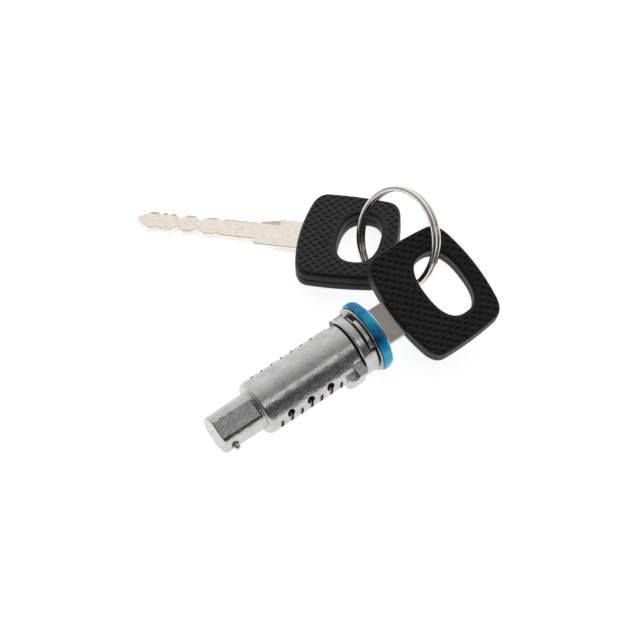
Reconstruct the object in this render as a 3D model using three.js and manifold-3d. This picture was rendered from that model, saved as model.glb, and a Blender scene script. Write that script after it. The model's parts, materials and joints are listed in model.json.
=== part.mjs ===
// Automotive lock barrel with two keys on a split ring, lying on a table.
// Units are millimetres. +Z is up, the lock points from its tail (origin) towards its key (+X),
// pitched and rolled a little because it rests on its rear rim and on its coloured ring.

import * as THREE from "three";
import { mergeVertices } from "three/addons/utils/BufferGeometryUtils.js";
import Module from "manifold-3d";

const wasm = await Module();
wasm.setup();

// ---- Driving dimensions ----------------------------------------------------------------

const GAP = 0.25; // clearance between neighbouring pieces
const ROUND = 48; // sides of a large round

// How the lock lies: pitch lifts the key end, roll lifts the +Y side.
const LOCK_PITCH = 4.5;
const LOCK_ROLL = 15.6;

// Lock barrel casting, stations along the lock axis from the tail's end face.
const TAIL_R = 5.8;
const TAIL_CHAMFER = 0.35;
const TAIL_FLAT = 5.25; // distance of the drive flat from the axis
const FLAT_TURN = 7; // the flat faces this many degrees from +Z towards -Y
const BODY_START = 13.4;
const BODY_R = 7.95;
const BODY_CHAMFER = 0.6;
const RIB_R = 8.3; // raised ribs along the +Y and -Y sides
const RIB_HALF_WIDTH = 4.75;
const RIB_END = 43.2;
const BODY_END = 45.3;
const NECK_R = 7.35;
const NECK_END = 54.1;

// Lug on the -Y side of the casting: its upper side has a low step, then the full height.
const LUG = { from: 39.4, step: 42.1, to: 45.3, out: 9.9, bottom: -3.4, stepTop: 3.3, top: 5.0 };

// Wafers: thin plates in slots across the casting, with an ear that bears on a spring.
const WAFER_COUNT = 7;
const WAFER_FIRST = 17.1;
const WAFER_PITCH = 3.37;
const WAFER_THICK = 0.8;
const WAFER_R = 7.75;
const WAFER_HALF_WIDTH = 2.5;
const WAFER_TRAVEL = 0.8;
const WAFER_SLOT = 1.1;
const SLOT_TOP = 4.4; // how high the slots open out on the +Y side
const EAR_TOP = 4.6;
const EAR = [-0.5, 1.1]; // the ear's ends along the wafer's travel
const SPRING_Z = 3.5; // height of a wafer spring's axis
const SPRING_BORE_R = 1.0;
const SPRING_COIL_R = 0.58;
const SPRING_WIRE = 0.26;
const SPRING_FROM = -6.1;
const SPRING_TURNS = 4;
const COIL_STEPS = 8; // steps round each turn of a coil

// Sprung pin in the tail.
const PIN_STATION = 2.9;
const PIN_ANGLE = 16; // degrees from -Y towards +Z
const PIN_R = 0.85;
const PIN_PROUD = 1.6;
const PIN_LENGTH = 3.6;

// Front rings.
const RING_BORE_R = 7.65;
const COLLAR = { from: 45.6, groove: 48.3, to: 50.0, rear: 9.25, front: 8.7, pad: 9.3 };
// Raised pads on the collar's front band: middle, in degrees from +Y, and half width.
const PADS = [
  [95, 4.4],
  [176, 6.3],
  [300, 4.4],
];
const WASHER = { from: 50.25, to: 50.65, r: 10.2 };
const LIGHT = { from: 50.9, to: 54.1, r: 10.75, chamfer: 0.35 };
const CAP = { from: 54.35, to: 54.95, r: 8.2 };

// Key, in its own frame: +X from blade to head, Y across, Z through its thickness.
const BLADE_THICK = 2.2;
const BLADE_LENGTH = 49.1;
const BLADE_HALF = 3.65;
const SHOULDER_HALF = 5.7;
const SHOULDER = 13.0; // start of the wide part, from the head
const TANG = 6.0;
const NOSE = 3.9; // length of the blade's pointed tip
const NOSE_HALF = 0.4;
// Cuts along both edges: station from the tip, depth, half length of the floor, flank slope.
const CUTS = [
  [6.6, 0.9, 0.3, 1.4],
  [9.1, 0.8, 0.1, 1.0],
  [12.65, 1.7, 0.4, 1.2],
  [18.85, 1.9, 0.35, 1.15],
  [24.9, 0.8, 0.1, 0.8],
];
const CUT_STEP = 0.5; // spacing of the outline's points along the cut edges
// Rebate along one edge of each face; it ends in a ramp across the wide part.
const REBATE = { from: 2.95, floor: 0.35, rampLow: -0.8, rampHigh: 0.6, end: 6.6 };
const HEAD = { length: 24.5, nearHalf: 17.25, farHalf: 16.25, thick: 5.8, bevel: 0.8, corner: 0.13 };
const HEAD_BOW = { near: 2.35, far: 2.1, side: 0.75 };
const HOLE = { x: 15.4, halfX: 6.2, halfY: 10.4, power: 2.5, sides: 40 };

const KEY_1_STATION = 64.0; // head's blade-side corners, along the lock axis
const KEY_2 = { at: [61.65, 41.25, -1.3], heading: -47.1, pitch: 4.2, roll: -9.5 };

// Split ring.
const SPLIT = { at: [78.6, 20.3, 7.1], normal: [-0.841, 0.021, 0.54], r: 15.35, radial: 1.5, coil: 1.3 };
const SPLIT_PITCH = 1.5;
const SPLIT_TURNS = 1.97;
const SPLIT_STEPS = 96;

// ---- Materials --------------------------------------------------------------------------

const paint = (color, roughness, metalness) => new THREE.MeshStandardMaterial({ color, roughness, metalness });
const ZINC = paint(0xb9bab8, 0.38, 0.9);
const NICKEL = paint(0xcfc8bd, 0.22, 1);
const BRASS = paint(0x9a7a3c, 0.35, 1);
const STEEL = paint(0x8b8d90, 0.3, 1);
const BLUE = new THREE.MeshStandardMaterial({ color: 0x1e9ac8, roughness: 0.15, transparent: true, opacity: 0.85 });
const BLACK = paint(0x232427, 0.55, 0);

// ---- Solid helpers ----------------------------------------------------------------------

const rad = THREE.MathUtils.degToRad;

function solid(geometry) {
  const bare = geometry.clone();
  bare.deleteAttribute("normal");
  bare.deleteAttribute("uv");
  const merged = mergeVertices(bare, 1e-5);
  return new wasm.Manifold(
    new wasm.Mesh({
      numProp: 3,
      vertProperties: new Float32Array(merged.attributes.position.array),
      triVerts: new Uint32Array(merged.index.array),
    }),
  );
}

function geometry(body) {
  const mesh = body.getMesh();
  const result = new THREE.BufferGeometry();
  result.setAttribute("position", new THREE.BufferAttribute(new Float32Array(mesh.vertProperties), 3));
  result.setIndex(new THREE.BufferAttribute(new Uint32Array(mesh.triVerts), 1));
  result.computeVertexNormals();
  return result;
}

// A box between two corners.
function block(low, high) {
  const size = high.map((value, i) => value - low[i]);
  const centre = high.map((value, i) => (value + low[i]) / 2);
  return solid(new THREE.BoxGeometry(...size).translate(...centre));
}

// A solid of revolution about X from [station, radius] points; it closes on the axis.
function turned(points, sides = ROUND) {
  const profile = [[points[0][0], 0], ...points, [points.at(-1)[0], 0]];
  const outline = profile.map(([x, r]) => new THREE.Vector2(r, x));
  return solid(new THREE.LatheGeometry(outline, sides).rotateZ(-Math.PI / 2));
}

// A ring about X whose section is the closed loop of [station, radius] points.
function ring(points, sides = ROUND) {
  const outline = [...points, points[0]].map(([x, r]) => new THREE.Vector2(r, x));
  return solid(new THREE.LatheGeometry(outline, sides).rotateZ(-Math.PI / 2));
}

// A rod along a direction from a start point.
function rod(start, direction, length, radius, sides = 20) {
  const along = new THREE.Vector3(...direction).normalize();
  const body = new THREE.CylinderGeometry(radius, radius, length, sides).translate(0, length / 2, 0);
  body.applyQuaternion(new THREE.Quaternion().setFromUnitVectors(new THREE.Vector3(0, 1, 0), along));
  return solid(body.translate(...start));
}

// A coil of round wire along +Y, from y = 0 to y = length.
function coil(radius, wire, length, turns) {
  class Helix extends THREE.Curve {
    getPoint(t) {
      const angle = t * turns * Math.PI * 2;
      return new THREE.Vector3(radius * Math.cos(angle), t * length, radius * Math.sin(angle));
    }
  }
  const section = new THREE.Shape().absarc(0, 0, wire / 2, 0, Math.PI * 2);
  return new THREE.ExtrudeGeometry(section, { extrudePath: new Helix(), steps: turns * COIL_STEPS, curveSegments: 2 });
}

const parts = new THREE.Group();
function add(parent, name, material, shape) {
  const mesh = new THREE.Mesh(shape.isBufferGeometry ? shape : geometry(shape), material);
  mesh.name = name;
  parent.add(mesh);
  return mesh;
}

// ---- Lock -------------------------------------------------------------------------------

const lock = new THREE.Group();
lock.rotation.set(rad(LOCK_ROLL), -rad(LOCK_PITCH), 0, "ZYX");
parts.add(lock);

const waferStations = Array.from({ length: WAFER_COUNT }, (_, i) => WAFER_FIRST + i * WAFER_PITCH);
// Even wafers have their ear up and their spring on the -Y side; odd ones are turned half round.
const waferSide = (index) => (index % 2 === 1 ? 1 : -1);
const turnHalf = (body, side) => (side > 0 ? body : body.rotate([180, 0, 0]));

function waferPocket(x, side) {
  const half = WAFER_SLOT / 2;
  const play = WAFER_TRAVEL + GAP;
  const slot = block([x - half, -10, -WAFER_HALF_WIDTH - GAP], [x + half, 10, WAFER_HALF_WIDTH + GAP]);
  const opening = block([x - half, 6.6, 0], [x + half, 10, SLOT_TOP]);
  const earRoom = block([x - half, EAR[0] - 0.6, 0], [x + half, EAR[1] + play, EAR_TOP + GAP]);
  const bore = rod([x, EAR[0] - 0.1, SPRING_Z], [0, -1, 0], 9, SPRING_BORE_R, 16);
  return slot.add(opening).add(turnHalf(earRoom.add(bore), side));
}

function pinDirection() {
  return [0, -Math.cos(rad(PIN_ANGLE)), Math.sin(rad(PIN_ANGLE))];
}

function barrel() {
  let body = turned([
    [0, TAIL_R - TAIL_CHAMFER],
    [TAIL_CHAMFER, TAIL_R],
    [BODY_START, TAIL_R + 0.15],
    [BODY_START, BODY_R - BODY_CHAMFER],
    [BODY_START + BODY_CHAMFER, BODY_R],
    [BODY_END, BODY_R],
    [BODY_END, NECK_R],
    [NECK_END, NECK_R],
  ]);
  const ribSide = block([0, 1, -RIB_HALF_WIDTH], [60, 12, RIB_HALF_WIDTH]);
  const rib = turned([
    [BODY_START + BODY_CHAMFER, BODY_R],
    [BODY_START + 2 * BODY_CHAMFER, RIB_R],
    [RIB_END - 0.4, RIB_R],
    [RIB_END, BODY_R - 0.1],
  ]).intersect(ribSide.add(ribSide.rotate([180, 0, 0])));
  const lug = block([LUG.step, -LUG.out, LUG.bottom], [LUG.to, -5, LUG.top]);
  const lugStep = block([LUG.from, -LUG.out, LUG.bottom], [LUG.to, -5, LUG.stepTop]);
  body = body.add(rib).add(lug).add(lugStep);
  const aboveFlat = block([-1, -10, TAIL_FLAT], [BODY_START - 0.4, 10, 10]);
  body = body.subtract(aboveFlat.rotate([FLAT_TURN, 0, 0]));
  // keyway, and its wide mouth for the key's shoulder
  const slot = BLADE_THICK / 2 + GAP;
  const tip = KEY_1_STATION - HEAD_BOW.near - BLADE_LENGTH;
  const mouth = KEY_1_STATION - HEAD_BOW.near - SHOULDER;
  body = body.subtract(block([tip - 0.5, -BLADE_HALF - GAP, -slot], [60, BLADE_HALF + GAP, slot]));
  body = body.subtract(block([mouth - 0.5, -SHOULDER_HALF - GAP, -slot], [60, SHOULDER_HALF + GAP, slot]));
  waferStations.forEach((x, i) => {
    body = body.subtract(waferPocket(x, waferSide(i)));
  });
  const pinBore = rod([PIN_STATION, 0, 0], pinDirection(), 12, PIN_R + GAP);
  return body.subtract(pinBore.subtract(rod([PIN_STATION, 0, 0], pinDirection(), 1.2, 5)));
}

function wafer(x, side) {
  const half = WAFER_THICK / 2;
  const plate = block([x - half, -9, -WAFER_HALF_WIDTH], [x + half, 9, WAFER_HALF_WIDTH]);
  const disc = turned([
    [x - half, WAFER_R],
    [x + half, WAFER_R],
  ]);
  const ear = block([x - half, EAR[0], 0], [x + half, EAR[1], EAR_TOP]);
  const windowY = BLADE_HALF + WAFER_TRAVEL + 0.2;
  const windowZ = BLADE_THICK / 2 + 0.35;
  const window = block([x - 1, -windowY, -windowZ], [x + 1, windowY, windowZ]);
  return plate.intersect(disc).add(turnHalf(ear, side)).subtract(window);
}

function waferSpring(x, side) {
  const length = EAR[0] - 0.2 - SPRING_FROM;
  const wire = coil(SPRING_COIL_R, SPRING_WIRE, length, SPRING_TURNS).translate(x, SPRING_FROM, SPRING_Z);
  return side > 0 ? wire : wire.rotateX(Math.PI);
}

add(lock, "barrel_casting", ZINC, barrel());
waferStations.forEach((x, i) => {
  add(lock, `wafer_${i + 1}`, BRASS, wafer(x, waferSide(i)));
  add(lock, `wafer_spring_${i + 1}`, STEEL, waferSpring(x, waferSide(i)));
});

// The tail pin is a rounded plunger; its spring sits in the bore beneath it.
function tailPin() {
  const outer = TAIL_R + PIN_PROUD;
  const profile = [
    [outer - PIN_LENGTH, PIN_R],
    [outer - 0.5, PIN_R],
    [outer - 0.15, PIN_R * 0.8],
    [outer, PIN_R * 0.4],
  ];
  return turned(profile, 20);
}
const pinSeat = new THREE.Group();
pinSeat.position.set(PIN_STATION, 0, 0);
pinSeat.rotation.set(-rad(PIN_ANGLE), 0, -Math.PI / 2, "XYZ");
lock.add(pinSeat);
add(pinSeat, "tail_pin", STEEL, tailPin());
const pinSpringLength = TAIL_R + PIN_PROUD - PIN_LENGTH - 0.2 - 1.35;
add(pinSeat, "tail_pin_spring", STEEL, coil(0.6, 0.26, pinSpringLength, 3).rotateZ(-Math.PI / 2).translate(1.35, 0, 0));

// ---- Front rings ------------------------------------------------------------------------

function collar() {
  let body = ring([
    [COLLAR.from, RING_BORE_R],
    [COLLAR.from, COLLAR.rear - 0.2],
    [COLLAR.from + 0.2, COLLAR.rear],
    [COLLAR.groove, COLLAR.rear],
    [COLLAR.groove, COLLAR.front],
    [COLLAR.to, COLLAR.front],
    [COLLAR.to, RING_BORE_R],
  ]);
  const band = ring([
    [COLLAR.groove + 0.3, COLLAR.front - 0.3],
    [COLLAR.groove + 0.3, COLLAR.pad],
    [COLLAR.to, COLLAR.pad],
    [COLLAR.to, COLLAR.front - 0.3],
  ]);
  for (const [angle, half] of PADS) {
    body = body.add(band.intersect(block([40, 0.1, -half], [60, 12, half]).rotate([angle, 0, 0])));
  }
  // notch where the rear band is open
  return body.subtract(block([40, 8.2, -1.6], [COLLAR.groove - 0.4, 12, 1.6]).rotate([12, 0, 0]));
}

function lightRing() {
  const { from, to, r, chamfer } = LIGHT;
  return ring([
    [from, RING_BORE_R],
    [from, r - chamfer],
    [from + chamfer, r],
    [to - chamfer, r],
    [to, r - chamfer],
    [to, RING_BORE_R],
  ]);
}

function frontCap() {
  const disc = turned([
    [CAP.from, CAP.r],
    [CAP.to - 0.2, CAP.r],
    [CAP.to, CAP.r - 0.2],
  ]);
  const slot = BLADE_THICK / 2 + GAP;
  return disc.subtract(block([50, -SHOULDER_HALF - GAP, -slot], [60, SHOULDER_HALF + GAP, slot]));
}

add(lock, "mounting_collar", ZINC, collar());
add(lock, "front_washer", NICKEL, ring([
  [WASHER.from, RING_BORE_R],
  [WASHER.from, WASHER.r],
  [WASHER.to, WASHER.r],
  [WASHER.to, RING_BORE_R],
]));
add(lock, "light_ring", BLUE, lightRing());
add(lock, "face_cap", NICKEL, frontCap());

// ---- Keys -------------------------------------------------------------------------------

// Half width of the narrow part at a distance from the tip.
function edgeAt(distance) {
  const nose = Math.min(BLADE_HALF, NOSE_HALF + ((BLADE_HALF - NOSE_HALF) * distance) / NOSE);
  const cuts = CUTS.map(([station, depth, floor, slope]) => {
    const outside = Math.max(0, Math.abs(distance - station) - floor);
    return Math.max(0, depth - outside * slope);
  });
  return nose - Math.max(...cuts);
}

function bladeShape() {
  const head = -HEAD_BOW.near;
  const tip = head - BLADE_LENGTH;
  const cutEnd = BLADE_LENGTH - SHOULDER;
  const points = [];
  for (let distance = 0; distance < cutEnd - 8; distance += CUT_STEP) {
    points.push([tip + distance, edgeAt(distance)]);
  }
  points.push([tip + cutEnd, BLADE_HALF], [tip + cutEnd, SHOULDER_HALF], [TANG, SHOULDER_HALF]);
  const shape = new THREE.Shape();
  shape.moveTo(points[0][0], -points[0][1]);
  points.slice(1).forEach(([x, y]) => shape.lineTo(x, -y));
  points.reverse().forEach(([x, y]) => shape.lineTo(x, y));
  return shape;
}

// The part of the upper face that is milled away beyond the rebate's edge on the +Y side.
function rebate() {
  const head = -HEAD_BOW.near;
  const profile = new THREE.Shape();
  profile.moveTo(head - BLADE_LENGTH - 2, REBATE.floor);
  profile.lineTo(head - SHOULDER, REBATE.floor);
  profile.lineTo(head - SHOULDER, REBATE.rampLow);
  profile.lineTo(head - REBATE.end, REBATE.rampHigh);
  profile.lineTo(head - REBATE.end, BLADE_THICK);
  profile.lineTo(head - BLADE_LENGTH - 2, BLADE_THICK);
  const cutter = new THREE.ExtrudeGeometry(profile, { depth: 10, bevelEnabled: false });
  return solid(cutter.rotateX(Math.PI / 2).translate(0, REBATE.from + 10, 0));
}

function blade() {
  const flat = new THREE.ExtrudeGeometry(bladeShape(), { depth: BLADE_THICK, bevelEnabled: false });
  const milled = rebate();
  // the blade is reversible, so the lower face has the same rebate on its -Y side
  return solid(flat.translate(0, 0, -BLADE_THICK / 2)).subtract(milled).subtract(milled.rotate([180, 0, 0]));
}

// The finger hole is a superellipse, a little squarer than an oval.
function holePoints() {
  const bend = (value) => Math.sign(value) * Math.abs(value) ** (2 / HOLE.power);
  return Array.from({ length: HOLE.sides }, (_, i) => {
    const angle = (i / HOLE.sides) * Math.PI * 2;
    return new THREE.Vector2(
      HOLE.x + HOLE.halfX * bend(Math.cos(angle)),
      HOLE.halfY * bend(Math.sin(angle)),
    );
  });
}

// The head's outline: four bowed sides joined by rounded corners.
function headShape() {
  const { length, nearHalf, farHalf, corner } = HEAD;
  const corners = [
    [0, -nearHalf],
    [length, -farHalf],
    [length, farHalf],
    [0, nearHalf],
  ];
  const bows = [[0, -HEAD_BOW.side], [HEAD_BOW.far, 0], [0, HEAD_BOW.side], [-HEAD_BOW.near, 0]];
  const at = (i, t) => {
    const [a, b, bow] = [corners[i], corners[(i + 1) % 4], bows[i]];
    return [0, 1].map((k) => a[k] + (b[k] - a[k]) * t + bow[k] * 4 * t * (1 - t));
  };
  const shape = new THREE.Shape();
  shape.moveTo(...at(0, corner));
  for (let i = 0; i < 4; i++) {
    for (let step = 1; step <= 6; step++) shape.lineTo(...at(i, corner + ((1 - 2 * corner) * step) / 6));
    shape.quadraticCurveTo(...corners[(i + 1) % 4], ...at((i + 1) % 4, corner));
  }
  shape.holes.push(new THREE.Path(holePoints()));
  return shape;
}

function head() {
  const { thick, bevel } = HEAD;
  const body = new THREE.ExtrudeGeometry(headShape(), {
    depth: thick - 2 * bevel,
    bevelThickness: bevel,
    bevelSize: bevel,
    bevelOffset: -bevel,
    bevelSegments: 2,
    curveSegments: 8,
  });
  const half = BLADE_THICK / 2 + GAP;
  const pocket = block([-9, -SHOULDER_HALF - GAP, -half], [TANG + GAP, SHOULDER_HALF + GAP, half]);
  return solid(body.translate(0, 0, -thick / 2 + bevel)).subtract(pocket);
}

function addKey(parent, name) {
  const whole = head();
  const upper = block([-20, -30, GAP / 2], [60, 30, 10]);
  const lower = block([-20, -30, -10], [60, 30, -GAP / 2]);
  add(parent, `${name}_blade`, NICKEL, blade());
  add(parent, `${name}_head_front`, BLACK, whole.intersect(upper));
  add(parent, `${name}_head_back`, BLACK, whole.intersect(lower));
}

const key1 = new THREE.Group();
key1.position.set(KEY_1_STATION, 0, 0);
lock.add(key1);
addKey(key1, "key_1");

const key2 = new THREE.Group();
key2.position.set(...KEY_2.at);
key2.rotation.set(rad(KEY_2.roll), -rad(KEY_2.pitch), rad(KEY_2.heading), "ZYX");
parts.add(key2);
addKey(key2, "key_2");

// ---- Split ring: two turns of flat wire lying side by side ---------------------------------

function splitRing() {
  const mean = SPLIT.r - SPLIT.radial / 2;
  const section = [
    [-SPLIT.radial / 2, -SPLIT.coil / 2],
    [SPLIT.radial / 2, -SPLIT.coil / 2],
    [SPLIT.radial / 2, SPLIT.coil / 2],
    [-SPLIT.radial / 2, SPLIT.coil / 2],
  ];
  const positions = [];
  const faces = [];
  for (let i = 0; i <= SPLIT_STEPS; i++) {
    const turn = (i / SPLIT_STEPS) * SPLIT_TURNS;
    const angle = turn * Math.PI * 2;
    // each turn stays flat, and climbs to the next one over its last quarter
    const climb = (SPLIT_TURNS / 2 - turn) * SPLIT_PITCH;
    section.forEach(([r, z]) => {
      positions.push((mean + r) * Math.cos(angle), (mean + r) * Math.sin(angle), z - climb);
    });
    if (i === 0) continue;
    for (let k = 0; k < 4; k++) {
      const [a, b] = [(i - 1) * 4 + k, (i - 1) * 4 + ((k + 1) % 4)];
      faces.push(a, a + 4, b, b, a + 4, b + 4);
    }
  }
  const last = SPLIT_STEPS * 4;
  faces.push(0, 1, 2, 0, 2, 3, last, last + 2, last + 1, last, last + 3, last + 2);
  const result = new THREE.BufferGeometry();
  result.setAttribute("position", new THREE.Float32BufferAttribute(positions, 3));
  result.setIndex(faces);
  result.computeVertexNormals();
  return result;
}

const ringSeat = new THREE.Group();
ringSeat.position.set(...SPLIT.at);
const ringNormal = new THREE.Vector3(...SPLIT.normal).normalize();
ringSeat.quaternion.setFromUnitVectors(new THREE.Vector3(0, 0, 1), ringNormal);
parts.add(ringSeat);
add(ringSeat, "split_ring", NICKEL, splitRing());

export default parts;
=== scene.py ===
"""Looks of a vehicle lock barrel with one key in it and a second key on a split ring.

Every shape is built in millimetres in the frame of the lock, of a key or of the ring, and is then
placed in the row frame, in metres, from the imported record's mounts and joints.
"""

import json
import math

import bmesh
import bpy
import numpy as np
from mathutils import Matrix, Vector, noise


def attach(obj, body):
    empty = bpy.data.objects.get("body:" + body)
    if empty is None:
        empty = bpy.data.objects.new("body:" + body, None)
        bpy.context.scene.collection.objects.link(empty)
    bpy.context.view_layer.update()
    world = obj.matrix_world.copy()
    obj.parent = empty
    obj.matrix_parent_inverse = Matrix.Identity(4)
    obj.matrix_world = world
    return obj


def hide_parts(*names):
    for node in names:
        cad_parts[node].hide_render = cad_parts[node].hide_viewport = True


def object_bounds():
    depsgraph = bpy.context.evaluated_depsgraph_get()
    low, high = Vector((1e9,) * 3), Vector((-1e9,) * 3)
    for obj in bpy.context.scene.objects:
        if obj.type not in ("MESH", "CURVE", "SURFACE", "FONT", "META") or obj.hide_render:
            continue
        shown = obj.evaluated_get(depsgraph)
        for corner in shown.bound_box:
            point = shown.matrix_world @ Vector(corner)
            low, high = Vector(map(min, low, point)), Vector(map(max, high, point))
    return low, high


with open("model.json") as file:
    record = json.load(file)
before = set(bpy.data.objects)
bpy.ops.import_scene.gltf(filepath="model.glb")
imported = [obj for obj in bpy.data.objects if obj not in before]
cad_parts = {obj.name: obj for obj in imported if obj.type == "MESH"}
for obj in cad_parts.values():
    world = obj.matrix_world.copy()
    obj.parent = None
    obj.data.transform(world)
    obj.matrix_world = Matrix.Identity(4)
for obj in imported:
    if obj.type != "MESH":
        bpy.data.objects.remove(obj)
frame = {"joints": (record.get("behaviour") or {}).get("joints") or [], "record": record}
cad_low, cad_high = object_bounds()
record = frame["record"]
joints = {joint["name"]: joint for joint in frame["joints"]}
scene = bpy.context.scene

MM = 0.001

# ---- Frames -------------------------------------------------------------------------------


def basis(x, y, z, origin):
    """The matrix that carries a local frame's millimetres into the row frame's metres."""
    turn = Matrix((x, y, z)).transposed().to_4x4()
    return Matrix.Translation(origin) @ turn @ Matrix.Scale(MM, 4)


def lock_frame():
    """X along the lock from its tail to its key, Y away from the lug."""
    mounts = {mount["name"]: mount for mount in record["mounts"]}
    x = -Vector(mounts["tail_end_face"]["axis"]).normalized()
    y = -Vector(mounts["lug_outer_face"]["axis"]).normalized()
    return basis(x, y, x.cross(y), Vector(mounts["tail_end_face"]["pos_m"]))


KEY_1_STATION = 64.0
KEY_2_AT = (61.65, 41.25, -1.3)
KEY_2_TURN = (-47.1, 4.2, -9.5)  # heading, pitch and roll in degrees

LOCK = lock_frame()
KEY_1 = LOCK @ Matrix.Translation((KEY_1_STATION, 0, 0))
heading, pitch, roll = (math.radians(value) for value in KEY_2_TURN)
KEY_2 = (
    Matrix.Scale(MM, 4)
    @ Matrix.Translation(KEY_2_AT)
    @ Matrix.Rotation(heading, 4, "Z")
    @ Matrix.Rotation(-pitch, 4, "Y")
    @ Matrix.Rotation(roll, 4, "X")
)


def ring_frame():
    """Z along the ring's own axis, turned from the row's Z the shortest way."""
    joint = joints["ring_run"]
    axis = Vector(joint["axis"]).normalized()
    turn = Vector((0, 0, 1)).rotation_difference(axis).to_matrix()
    x, y, z = (turn.col[i] for i in range(3))
    return basis(x, y, z, Vector(joint["pos_m"]))


RING = ring_frame()

# ---- Mesh helpers -------------------------------------------------------------------------


def make(name, points, faces):
    """A linked mesh object from arrays of points and faces."""
    mesh = bpy.data.meshes.new(name)
    mesh.from_pydata([tuple(point) for point in points], [], [tuple(face) for face in faces])
    mesh.update()
    piece = bpy.data.objects.new(name, mesh)
    scene.collection.objects.link(piece)
    return piece


def coordinates(piece):
    """The vertices of a piece as an array of points."""
    points = np.empty(len(piece.data.vertices) * 3, np.float32)
    piece.data.vertices.foreach_get("co", points)
    return points.reshape(-1, 3).astype(float)


def set_coordinates(piece, points):
    """Moves the vertices of a piece to an array of points."""
    piece.data.vertices.foreach_set("co", points.astype(np.float32).ravel())
    piece.data.update()


def normals(piece):
    """The vertex normals of a piece as an array."""
    values = np.empty(len(piece.data.vertices) * 3, np.float32)
    piece.data.vertex_normals.foreach_get("vector", values)
    return values.reshape(-1, 3).astype(float)


def revolve(points, sides=160, closed=False):
    """A solid turned about X from [station, radius] points. A closed profile makes a ring."""
    profile = np.array(points, float)
    angles = np.arange(sides) / sides * 2 * math.pi
    rows = [
        np.column_stack((np.full(sides, x), r * np.cos(angles), r * np.sin(angles)))
        for x, r in profile
    ]
    vertices = np.concatenate(rows)
    count = len(profile)
    faces = []
    for i in range(count if closed else count - 1):
        j = (i + 1) % count
        for k in range(sides):
            after = (k + 1) % sides
            faces.append((i * sides + k, j * sides + k, j * sides + after, i * sides + after))
    if not closed:
        faces.append(list(range(sides)))
        faces.append([(count - 1) * sides + k for k in reversed(range(sides))])
    piece = make("turned", vertices, faces)
    outwards(piece)
    return piece


def outwards(piece):
    """Turns every face of a closed piece to point out."""
    mesh = bmesh.new()
    mesh.from_mesh(piece.data)
    bmesh.ops.recalc_face_normals(mesh, faces=mesh.faces)
    mesh.to_mesh(piece.data)
    mesh.free()


def prism(outline, low, high):
    """A closed outline in XY, extruded between two heights."""
    count = len(outline)
    vertices = [(x, y, z) for z in (low, high) for x, y in outline]
    faces = [list(reversed(range(count))), list(range(count, 2 * count))]
    for i in range(count):
        j = (i + 1) % count
        faces.append((i, j, count + j, count + i))
    piece = make("prism", vertices, faces)
    outwards(piece)
    return piece


def block(low, high):
    """A box between two corners, used only as a cutting or joining tool."""
    (x0, y0, z0), (x1, y1, z1) = low, high
    return prism([(x0, y0), (x1, y0), (x1, y1), (x0, y1)], z0, z1)


def rod(start, direction, length, radius):
    """A round cutting tool from a start point along a direction."""
    piece = revolve([(0, radius), (length, radius)], 48)
    turn = Vector((1, 0, 0)).rotation_difference(Vector(direction)).to_matrix().to_4x4()
    piece.data.transform(Matrix.Translation(start) @ turn)
    return piece


def tube(rows, angle):
    """A tube through rows of points, one row round each step, with closed ends."""
    steps, sides = len(rows) - 1, len(rows[0])
    faces = []
    for i in range(steps):
        for k in range(sides):
            a, b = i * sides + k, i * sides + (k + 1) % sides
            faces.append((a, b, b + sides, a + sides))
    faces.append(list(range(sides)))
    faces.append([steps * sides + k for k in reversed(range(sides))])
    piece = make("tube", np.concatenate(rows), faces)
    outwards(piece)
    shade(piece, angle=angle)
    return piece


def turned(piece, degrees):
    """The piece turned about X."""
    piece.data.transform(Matrix.Rotation(math.radians(degrees), 4, "X"))
    return piece


def apply_modifiers(piece):
    """Replaces the piece's mesh by its modified one."""
    shape = piece.evaluated_get(bpy.context.evaluated_depsgraph_get())
    mesh = bpy.data.meshes.new_from_object(shape)
    piece.modifiers.clear()
    piece.data = mesh


def combine(piece, operation, *tools):
    """Joins or cuts the piece with each tool in turn, and removes the tools."""
    for tool in tools:
        modifier = piece.modifiers.new("combine", "BOOLEAN")
        modifier.solver = "MANIFOLD"
        modifier.operation = operation
        modifier.object = tool
    apply_modifiers(piece)
    for tool in tools:
        bpy.data.objects.remove(tool)
    return piece


def remesh(piece, voxel, smoothing):
    """Cast-like skin: an even mesh whose edges are a little rounded."""
    modifier = piece.modifiers.new("skin", "REMESH")
    modifier.mode = "VOXEL"
    modifier.voxel_size = voxel
    if smoothing:
        modifier = piece.modifiers.new("smooth", "SMOOTH")
        modifier.factor = 0.5
        modifier.iterations = smoothing
    apply_modifiers(piece)
    return piece


def round_edges(piece, width, angle=30):
    """Small rounded edges whose flat neighbours stay flat."""
    bevel = piece.modifiers.new("edges", "BEVEL")
    bevel.width = width
    bevel.segments = 2
    bevel.limit_method = "ANGLE"
    bevel.angle_limit = math.radians(angle)
    bevel.use_clamp_overlap = True
    apply_modifiers(piece)
    shade(piece, weighted=True)
    return piece


def shade(piece, angle=None, weighted=False):
    """Smooth shading, with sharp edges above an angle, or with face-weighted normals."""
    mesh = piece.data
    mesh.polygons.foreach_set("use_smooth", [True] * len(mesh.polygons))
    if angle is not None:
        mesh.set_sharp_from_angle(angle=math.radians(angle))
    if weighted:
        piece.modifiers.new("normals", "WEIGHTED_NORMAL").keep_sharp = True
        apply_modifiers(piece)
    piece.data.update()


def field(points, scale, seed):
    """Smooth noise from -1 to 1 at each point, of a feature size given in millimetres."""
    shift = Vector((seed * 7.31, seed * 3.17, seed * 5.93))
    return np.array([noise.noise(Vector(point) / scale + shift) for point in points])


def fade(value, low, high):
    """A smooth step from 0 at low to 1 at high."""
    t = np.clip((value - low) / (high - low), 0, 1)
    return t * t * (3 - 2 * t)


def attribute(piece, name, values):
    """Stores one number per vertex for the materials to read."""
    layer = piece.data.attributes.new(name, "FLOAT", "POINT")
    layer.data.foreach_set("value", np.asarray(values, np.float32))


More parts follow.
